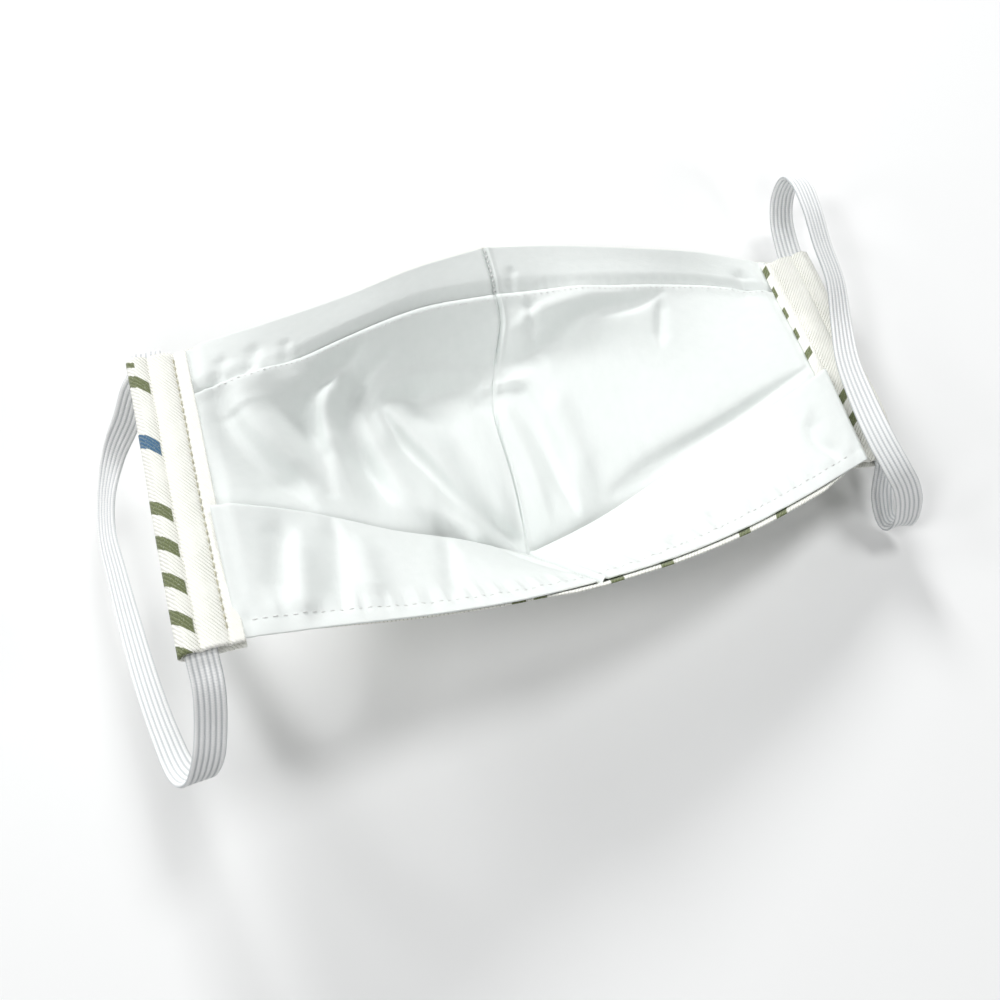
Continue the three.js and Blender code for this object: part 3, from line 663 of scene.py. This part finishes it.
# Places down the panels count the lines, as v does, and heights are millimetres
bandLook = {"start": 0.02, "end": 1.06, "pucker": 0.08, "dropFrom": 0.66, "drop": 1.3}
cheekLook = {"start": 0.965, "end": 3.9, "edge": 0.35, "edgeAt": 1.02, "nick": 0.14, "loose": 4.0}
shellLook = {"end": 5.03, "room": 0.95, "hem": -0.09, "peek": 0.115}
chinLook = {
    "top": 0.9, "roll": 0.62, "back": 5.0, "pucker": 0.28, "groove": 0.16, "lap": 0.75, "stitch": 0.885,
}
seamLook = {"dip": 0.95, "rollRight": 0.42, "rollLeft": 0.12}
underDrop = 0.72


def evenly(start, end, step):
    return np.linspace(start, end, max(2, int(math.ceil(abs(end - start) / step)) + 1))


def panelPlaces(side, end):
    first = np.array([0.0, 0.2, 0.45, 0.75, 1.1, 1.5]) / mask["halfSpan"]
    u = np.concatenate([first, evenly(2.0 / mask["halfSpan"], end, cloth["step"] / mask["halfSpan"])])
    return -u[::-1] if side < 0 else u


def seamDip(u):
    # the cloth turns down into the centre seam
    x = np.abs(u) * mask["halfSpan"]
    roll = np.where(u > 0, seamLook["rollRight"], seamLook["rollLeft"])
    return -seamLook["dip"] * hump(x, 0, 0.5) + roll * hump(x, 1.15, 0.6)


def underCasing(u):
    # and slips under the inner edge of the casing
    t = np.clip((np.abs(u) - liningEnd + 0.022) / 0.02, 0, 1)
    return -underDrop * smoothStep(t)


def wallPanel(name, surface, u, vPath, nPath, spacing, material, relief, hem=None):
    # vPath and nPath are the middle of the cloth, down the mask
    section = stripSection(np.stack([np.asarray(vPath) * spacing, nPath], 1), cloth["wall"])
    v, n = section[:, 0] / spacing, section[:, 1]
    uu, vv = np.meshgrid(u, v, indexing="ij")
    nn = np.broadcast_to(n, uu.shape)
    if hem:
        vv = vv + hem(uu) * np.clip((vv - 4.4) / 0.6, 0, 1)
    rings = surface.at(uu, vv, nn, relief(uu, vv))
    places = np.stack([uu * mask["halfSpan"] * cloth["fullness"], vv * spacing], -1)
    faces = ringFaces(len(u), len(section))
    return addObject(name, rings.reshape(-1, 3), faces, material, places.reshape(-1, 2))


def bandRelief(u, v):
    # soft puckers above the band's seam, where the band goes down under the cheek's edge
    x = u * mask["halfSpan"]
    puckers = bandLook["pucker"] * np.sin(x * 1.9 + 1.3 * np.sin(x * 0.37)) * hump(v, 0.9, 0.14)
    down = np.clip((v - bandLook["dropFrom"]) / (1 - bandLook["dropFrom"]), 0, 1)
    return puckers - bandLook["drop"] * smoothStep(down) + seamDip(u) + underCasing(u)


def cheekRelief(u, v):
    x = u * mask["halfSpan"]
    edge = cheekLook["edge"] * hump(v, cheekLook["edgeAt"], 0.1)
    nicks = cheekLook["nick"] * np.sin(x * 2.6 + 1.2 * np.sin(x * 0.41)) * hump(v, 0.99, 0.06)
    # the bowl's floor is loose, not pressed to the table
    loose = cheekLook["loose"] * np.exp(-(((u + 0.06) / 0.4) ** 2) - ((v - 2.62) / 0.62) ** 4)
    return edge + nicks + loose + seamDip(u) + underCasing(u)


def shellRelief(u, v):
    # room for the band's lower edge
    return -shellLook["room"] * hump(v, 1.0, 0.28)


def chinRelief(u, v):
    # puckers on both sides of the hem's stitches, which lie in a shallow groove
    x = u * mask["halfSpan"]
    swing = np.sin(x * 1.35 + 1.1 * np.sin(x * 0.23)) + 0.5 * np.sin(x * 2.9 + 2.0 * np.sin(x * 0.31))
    puckers = chinLook["pucker"] * swing * hump(v, 0.83, 0.09)
    groove = -chinLook["groove"] * hump(v, chinLook["stitch"], 0.02)
    return puckers + groove + seamDip(u) + np.where(u > 0, chinLook["lap"] * rightLap(u), underCasing(u))


def rightLap(u):
    # the right end of the chin panel lies over its casing
    return smoothStep(np.clip((u - liningEnd + 0.02) / 0.03, 0, 1))


def shellHem(u):
    # the printed cloth shows past the lining right of the middle only
    shows = np.clip((u + 0.18) / 0.1, 0, 1) * np.clip((0.9 - u) / 0.1, 0, 1)
    return shellLook["hem"] + shellLook["peek"] * shows


def finished(piece, node):
    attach(piece, "root")
    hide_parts(node)


halfCloth = cloth["wall"] / 2
fine = cloth["step"] / bowlSpacing
for side, end in ((-1, "left"), (1, "right")):
    shellName = f"outer_shell_{end}"
    tucked = liningEnd + 1.9 / mask["halfSpan"]
    u = panelPlaces(side, tucked)

    v = evenly(bandLook["start"], bandLook["end"], fine)
    depth = np.full(len(v), -halfCloth)
    band = wallPanel(f"noseBandCloth_{end}", bowl, u, v, depth, bowlSpacing, lawn, bandRelief)
    finished(band, f"nose_band_{end}")

    v = np.concatenate([evenly(cheekLook["start"], 1.09, 0.014)[:-1], evenly(1.09, cheekLook["end"], fine)])
    depth = -halfCloth - 0.4 * np.clip((1.0 - v) / 0.035, 0, 1) ** 2
    cheek = wallPanel(f"cheekCloth_{end}", bowl, u, v, depth, bowlSpacing, lawn, cheekRelief)
    finished(cheek, f"cheek_lining_{end}")

    # the chin panel comes up from its hem, rolls over at the fold and ends on its own back
    length = np.linalg.norm(onLine(lines["chinFold"], 0.5) - onLine(lines["chinHem"], 0.5))
    top, roll = chinLook["top"], chinLook["roll"]
    path = [(s, -halfCloth) for s in evenly(length, top, cloth["step"])]
    path += [
        (top - roll * math.cos(a), -halfCloth - roll - roll * math.sin(a))
        for a in np.linspace(-90, 90, 7)[1:-1] * math.pi / 180
    ]
    path += [(s, -halfCloth - 2 * roll) for s in evenly(top, chinLook["back"], cloth["step"])]
    path = np.array(path)
    u = panelPlaces(side, tucked if side < 0 else liningEnd + 1.7 / mask["halfSpan"])
    panel = wallPanel(f"chinCloth_{end}", chin, u, path[:, 0] / length, path[:, 1], length, lawn, chinRelief)
    finished(panel, f"chin_panel_{end}")

    u = panelPlaces(side, 1.0)
    v = evenly(0.0, shellLook["end"], fine)
    depth = -ply - 0.5 + 0.75 * np.clip((v - 4.5) / 0.5, 0, 1) ** 2 + 0.75 * np.clip(1 - v / 0.25, 0, 1) ** 2
    shell = wallPanel(f"outerCloth_{end}", bowl, u, v, depth, bowlSpacing, shellTwill, shellRelief, shellHem)
    finished(shell, shellName)
print("cloth panels made")

# Casings
lastSpan = np.linalg.norm(onLine(lines["keel"], 0.5) - onLine(lines["chinHem"], 0.5))
shellPlaces = np.array([
    0, 0.32, 0.64, 0.96, 1, 1.3, 1.55, 1.8, 2, 2.2, 2.45, 2.7, 3, 3.3, 3.6, 3.9,
    4.1, 4.35, 4.6, 4.8, 5 + mask["shellPeek"] / lastSpan,
])


def casingFrames(side):
    # a casing's middle line from nose edge to chin hem, with the ways out of the mask and off the cloth
    depth = -ply - mask["wall"] / 2
    centres = bowl.at(np.full(len(shellPlaces), side), shellPlaces, depth)
    outwards = centres - bowl.at(np.full(len(shellPlaces), side * liningEnd), shellPlaces, depth)
    along = unit(centres[-1] - centres[0])
    first, last = centres[0] - along * mask["topOverhang"], centres[-1] + along * mask["chinOverhang"]
    centres = np.vstack([first, centres, last])
    outwards = np.vstack([outwards[:1], outwards, outwards[-1:]])
    outward = unit(outwards - (outwards @ along)[:, None] * along)
    return centres, outward, np.cross(outward, along) * -side


def casingSection():
    # round the end of the shell: from the inner edge over the top, round the fold and back underneath
    half = casingHalf - casingLook["wall"] / 2
    fold = channelEnd + mask["wall"] - casingHalf
    top = []
    for x in evenly(-mask["grip"], fold, 0.25):
        swelling = sum(hump(x, at, casingLook["swellReach"]) for at in casingLook["swells"])
        y = half + casingLook["swell"] * swelling
        y -= casingLook["dip"] * (hump(x, casingLook["stitch"], 0.45) + hump(x, casingLook["crease"], 0.5))
        top.append((x, y))
    turn = [(fold + half * math.sin(a), half * math.cos(a)) for a in np.linspace(0, math.pi, 13)[1:-1]]
    under = [(x, -half) for x in evenly(fold, -mask["grip"], 0.6)]
    return np.array(top + turn + under)


for side, end in ((-1, "left"), (1, "right")):
    centres, outward, off = casingFrames(side)
    distance = runLength(centres)
    # finer rows of the frames, smooth between the given ones
    at = evenly(distance[0], distance[-1], casingLook["step"])
    centre, out, up = (onRun(distance, values, at) for values in (centres, outward, off))
    out, up = unit(out), unit(up)
    section = stripSection(casingSection(), casingLook["wall"])
    rings = centre[:, None] + out[:, None] * section[None, :, :1] + up[:, None] * section[None, :, 1:]
    # the strip's cloth place: along the casing, and across it from the middle of the elastic's channel,
    # with the underside beyond the printed bars
    across = np.where(section[:, 1] > -0.2, section[:, 0] - casingLook["middle"], 40 + section[:, 0])
    places = np.stack(np.broadcast_arrays(at[:, None], across[None, :]), -1)
    faces = ringFaces(len(at), len(section))
    twill, points = stripTwill[end], rings.reshape(-1, 3)
    piece = addObject(f"casingCloth_{end}", points, faces, twill, places.reshape(-1, 2))
    finished(piece, f"casing_{end}")
print("casings made")

# Routes of the ear loops: share of the casing's length, out and up as shares of loopReach, roll in degrees
loopRoutes = {
    "left": [
        (1.09, 0.01, -0.06, -6), (1.185, 0.07, -0.2, -6), (1.265, 0.14, -0.32, -4),
        (1.31, 0.26, -0.51, -4), (1.26, 0.385, -0.67, -6), (1.13, 0.45, -0.7, -10),
        (0.98, 0.495, -0.7, -14), (0.78, 0.54, -0.71, -20), (0.57, 0.575, -0.71, -28),
        (0.42, 0.59, -0.7, -33), (0.285, 0.54, -0.64, -33), (0.16, 0.42, -0.525, -24),
        (0.095, 0.265, -0.35, -16), (0.04, 0.15, -0.2, -8), (-0.005, 0.055, -0.13, -2),
        (-0.038, 0.0, -0.02, 0),
    ],
    "right": [
        (1.11, -0.03, -0.16, -5), (1.21, -0.01, -0.28, -10), (1.24, 0.045, -0.23, -12),
        (1.19, 0.06, -0.085, -14), (1.125, 0.035, 0.04, -16), (1.06, -0.01, 0.125, -18),
        (0.93, -0.055, 0.19, -20), (0.755, -0.065, 0.21, -8), (0.58, -0.05, 0.22, 6),
        (0.41, 0.01, 0.235, 18), (0.24, 0.055, 0.305, 24), (0.075, 0.05, 0.37, 24),
        (-0.085, 0.06, 0.43, 22), (-0.215, 0.075, 0.415, 18), (-0.285, 0.08, 0.32, 14),
        (-0.26, 0.045, 0.19, 8), (-0.165, 0.01, 0.08, 2),
    ],
}
loopLook = {"perStop": 10, "inCasing": 40, "core": 0.42, "rib": 0.56, "perRib": 8}


def turnedAbout(vector, axis, angle):
    return Matrix.Rotation(angle, 3, Vector(axis)) @ Vector(vector)


def elasticSection():
    # ribs across the band, both sides alike
    half, thick = mask["elasticWidth"] / 2, mask["elasticThickness"] / 2
    y = np.linspace(-half, half, loopLook["perRib"] * elasticLook["ribs"] + 1)
    rib = np.abs(np.sin(math.pi * elasticLook["ribs"] * (y + half) / (2 * half)))
    rim = np.sqrt(np.clip(1 - (np.abs(y) / half) ** 16, 0, 1))
    z = (thick * loopLook["core"] + thick * loopLook["rib"] * rib**0.8) * rim
    top = np.stack([y, z], 1)
    return np.vstack([top, top[::-1] * (1, -1)])


for side, end in ((-1, "left"), (1, "right")):
    centres, outward, off = casingFrames(side)
    inside = centres + outward * (channelEnd / 2)
    stops = [(inside[-2], outward[-2]), (inside[-1], outward[-1])]
    for along, out, up, roll in loopRoutes[end]:
        point = inside[0] + (inside[-1] - inside[0]) * along
        point = point + np.array([side * out, 0, up]) * mask["loopReach"]
        stops.append((point, roll))
    stops += [(inside[0], outward[0]), (inside[1], outward[1])]
    points = np.array([p for p, _ in stops])
    spans = len(points) - 1
    widths = []
    for k, (_, turn) in enumerate(stops):
        if isinstance(turn, (int, float)):
            tangent = unit(splineThrough(points, np.array([min(k + 0.001, spans)]))[0]
                           - splineThrough(points, np.array([k - 0.001]))[0])
            level = np.array([side, 0.0, 0.0])
            level = unit(level - tangent * (level @ tangent))
            turn = np.array(turnedAbout(level, tangent, math.radians(turn)))
        widths.append(turn)
    at = np.arange(1, spans - 1 + 1e-6, 1 / loopLook["perStop"])
    outer = splineThrough(points, at)
    tangent = unit(np.gradient(outer, axis=0))
    width = splineThrough(np.array(widths), at)
    width = unit(width - (width * tangent).sum(1, keepdims=True) * tangent)
    # inside the casing the band runs straight
    lead = np.linspace(0, 1, loopLook["inCasing"])[1:-1, None]
    innerPoints = inside[0] + (inside[-1] - inside[0]) * lead
    innerWidth = unit(outward[0] + (outward[-1] - outward[0]) * lead)
    centre = np.vstack([innerPoints, outer])
    width = np.vstack([innerWidth, width])
    tangent = unit(np.roll(centre, -1, 0) - np.roll(centre, 1, 0))
    width = unit(width - (width * tangent).sum(1, keepdims=True) * tangent)
    off = np.cross(width, tangent) * -side
    section = elasticSection()
    rings = centre[:, None] + width[:, None] * section[None, :, :1] + off[:, None] * section[None, :, 1:]
    distance = runLength(centre)
    places = np.stack(np.broadcast_arrays(distance[:, None], section[None, :, 0]), -1)
    faces = ringFaces(len(centre), len(section), joined=True)
    piece = addObject(f"earBand_{end}", rings.reshape(-1, 3), faces, knit, places.reshape(-1, 2))
    finished(piece, f"ear_loop_{end}")
print("ear loops made")

# A stitch: share of its length, share of its thickness, and height in thicknesses
stitchProfile = [(0.0, 0.3, -0.5), (0.16, 0.85, 0.05), (0.5, 1.0, 0.25), (0.84, 0.85, 0.05), (1.0, 0.3, -0.5)]
stitchSides = 6


def stitchRow(name, place, look, material):
    # short threads along a line: place gives points for shares of it, with the way off the cloth
    line, off = place(np.linspace(0, 1, 1600))
    distance = runLength(line)
    turns = [2 * math.pi * k / stitchSides for k in range(stitchSides)]
    points, faces, places = [], [], []
    for start in np.arange(look["pitch"] * 0.4, distance[-1] - look["long"], look["pitch"]):
        base = len(points)
        for along, girth, rise in stitchProfile:
            s = start + along * look["long"]
            ahead = unit(onRun(distance, line, s + 0.3) - onRun(distance, line, s - 0.3))
            up = unit(onRun(distance, off, s))
            aside = np.cross(up, ahead)
            middle = onRun(distance, line, s) + up * (rise * look["thick"])
            radius = look["thick"] / 2 * girth
            points += [middle + up * (radius * math.sin(a)) + aside * (radius * math.cos(a)) for a in turns]
            places += [(s, k * look["thick"] / 2) for k in range(stitchSides)]
        for ring in range(len(stitchProfile) - 1):
            for k in range(stitchSides):
                a, b = base + ring * stitchSides + k, base + ring * stitchSides + (k + 1) % stitchSides
                faces.append((a, b, b + stitchSides, a + stitchSides))
        faces.append(tuple(range(base, base + stitchSides))[::-1])
        faces.append(tuple(range(len(points) - stitchSides, len(points))))
    piece = addObject(name, points, faces, material, places)
    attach(piece, "root")


def onCloth(surface, relief, fromPlace, toPlace, lift):
    # a straight line of (u, v) places on a panel
    def place(shares):
        u = fromPlace[0] + (toPlace[0] - fromPlace[0]) * shares
        v = fromPlace[1] + (toPlace[1] - fromPlace[1]) * shares
        return surface.at(u, v, 0.0, relief(u, v) + lift), surface.facing(u, v)
    return place


def onCasing(side, fromPlace, toPlace, lift):
    # a straight line on a casing's upper side, between (millimetres along, millimetres outwards) places
    def place(shares):
        centres, outward, off = casingFrames(side)
        distance = runLength(centres)
        along = fromPlace[0] + (toPlace[0] - fromPlace[0]) * shares
        out = (fromPlace[1] + (toPlace[1] - fromPlace[1]) * shares)[:, None]
        centre, outs, ups = (onRun(distance, values, along) for values in (centres, outward, off))
        return centre + outs * out + ups * (casingHalf + lift), ups
    return place


threadLook = {
    "hem": {"pitch": 2.0, "long": 1.3, "thick": 0.3, "lift": 0.02},
    "band": {"pitch": 1.6, "long": 0.8, "thick": 0.24, "lift": -0.02},
    "seam": {"pitch": 1.3, "long": 0.85, "thick": 0.5, "lift": 0.95},
    "casing": {"pitch": 1.9, "long": 1.3, "thick": 0.3, "lift": -0.2},
}
hemThread, bandThread, seamThread, casingThread = (threadLook[k] for k in ("hem", "band", "seam", "casing"))
for side, end in ((-1, "left"), (1, "right")):
    last = side * (liningEnd - 0.012)
    v = chinLook["stitch"]
    row = onCloth(chin, chinRelief, (side * 0.012, v), (last, v), hemThread["lift"])
    stitchRow(f"hemStitches_{end}", row, hemThread, whiteThread)
    v = cheekLook["edgeAt"]
    row = onCloth(bowl, cheekRelief, (side * 0.02, v), (last, v), bandThread["lift"])
    stitchRow(f"bandStitches_{end}", row, bandThread, whiteThread)
row = onCloth(bowl, bandRelief, (0.0, 0.03), (0.0, 0.99), seamThread["lift"])
stitchRow("seamStitches", row, seamThread, whiteThread)
strip = casingLook["stitch"]
for name, side, fromPlace, toPlace in (
    ("casingStitches_left", -1, (0.8, strip), (68.0, strip)),
    ("tackStitches_left", -1, (66.5, strip + 0.4), (65.3, casingLook["crease"] - 0.4)),
    ("casingStitches_right", 1, (0.8, strip + 0.9), (50.0, strip + 0.9)),
):
    row = onCasing(side, fromPlace, toPlace, casingThread["lift"])
    stitchRow(name, row, casingThread, tanThread)
print("stitches made")

# Floor, lights and camera
floorMesh = bpy.data.meshes.new("floor")
floorMesh.from_pydata([(-3, -3, 0), (3, -3, 0), (3, 3, 0), (-3, 3, 0)], [], [(0, 1, 2, 3)])
floor = linked("floor", floorMesh)
f = Finish("paleGround")
where = f.node("TexCoord", {}, {}, "Object")
floorMesh.materials.append(f.done(f.node("BsdfPrincipled", {}, {
    "Base Color": f.mixed(f.noise(where, 4.0), tint(244, 245, 245), tint(247, 248, 248)),
    "Roughness": f.noise(where, 9.0) * 0.1 + 0.6, "Specular IOR Level": 0.2,
})))

# Soft lamps round the mask: heading and height in degrees, then power
studio = {"world": 0.01, "distance": 1.15, "size": 0.3}
lamps = {
    "nose": (90, 30, 7.8), "noseRight": (45, 58, 3.8), "left": (180, 30, 1.8), "leftHigh": (180, 58, 3.0),
    "leftNose": (135, 34, 1.9), "chin": (270, 58, 1.5), "chinRight": (315, 30, 2.1),
}
world = bpy.data.worlds.new("studio")
world.use_nodes = True
background = world.node_tree.nodes["Background"]
background.inputs["Color"].default_value = (1.0, 1.0, 1.0, 1.0)
background.inputs["Strength"].default_value = studio["world"]
bpy.context.scene.world = world
for name, (heading, height, power) in lamps.items():
    heading, height = math.radians(heading), math.radians(height)
    lamp = bpy.data.lights.new(name, "AREA")
    lamp.shape, lamp.size, lamp.energy = "DISK", studio["size"], power
    lampObject = linked(name, lamp)
    level = math.cos(height)
    way = Vector((level * math.cos(heading), level * math.sin(heading), math.sin(height)))
    lampObject.location = way * studio["distance"]
    lampObject.rotation_euler = (-way).to_track_quat("-Z", "Y").to_euler()

lens = bpy.data.cameras.new("camera")
lens.lens, lens.sensor_width = cameraLook["lens"], 36.0
lens.clip_start = 0.01
camera = linked("camera", lens)
right, up = Vector(cameraLook["right"]), Vector(cameraLook["up"])
turn = Matrix((right, up, right.cross(up))).transposed()
camera.matrix_world = Matrix.Translation(Vector(cameraLook["place"]) / 1000) @ turn.to_4x4()
bpy.context.scene.camera = camera
bpy.context.scene.view_settings.view_transform = "Standard"
print("camera, floor and lights made")
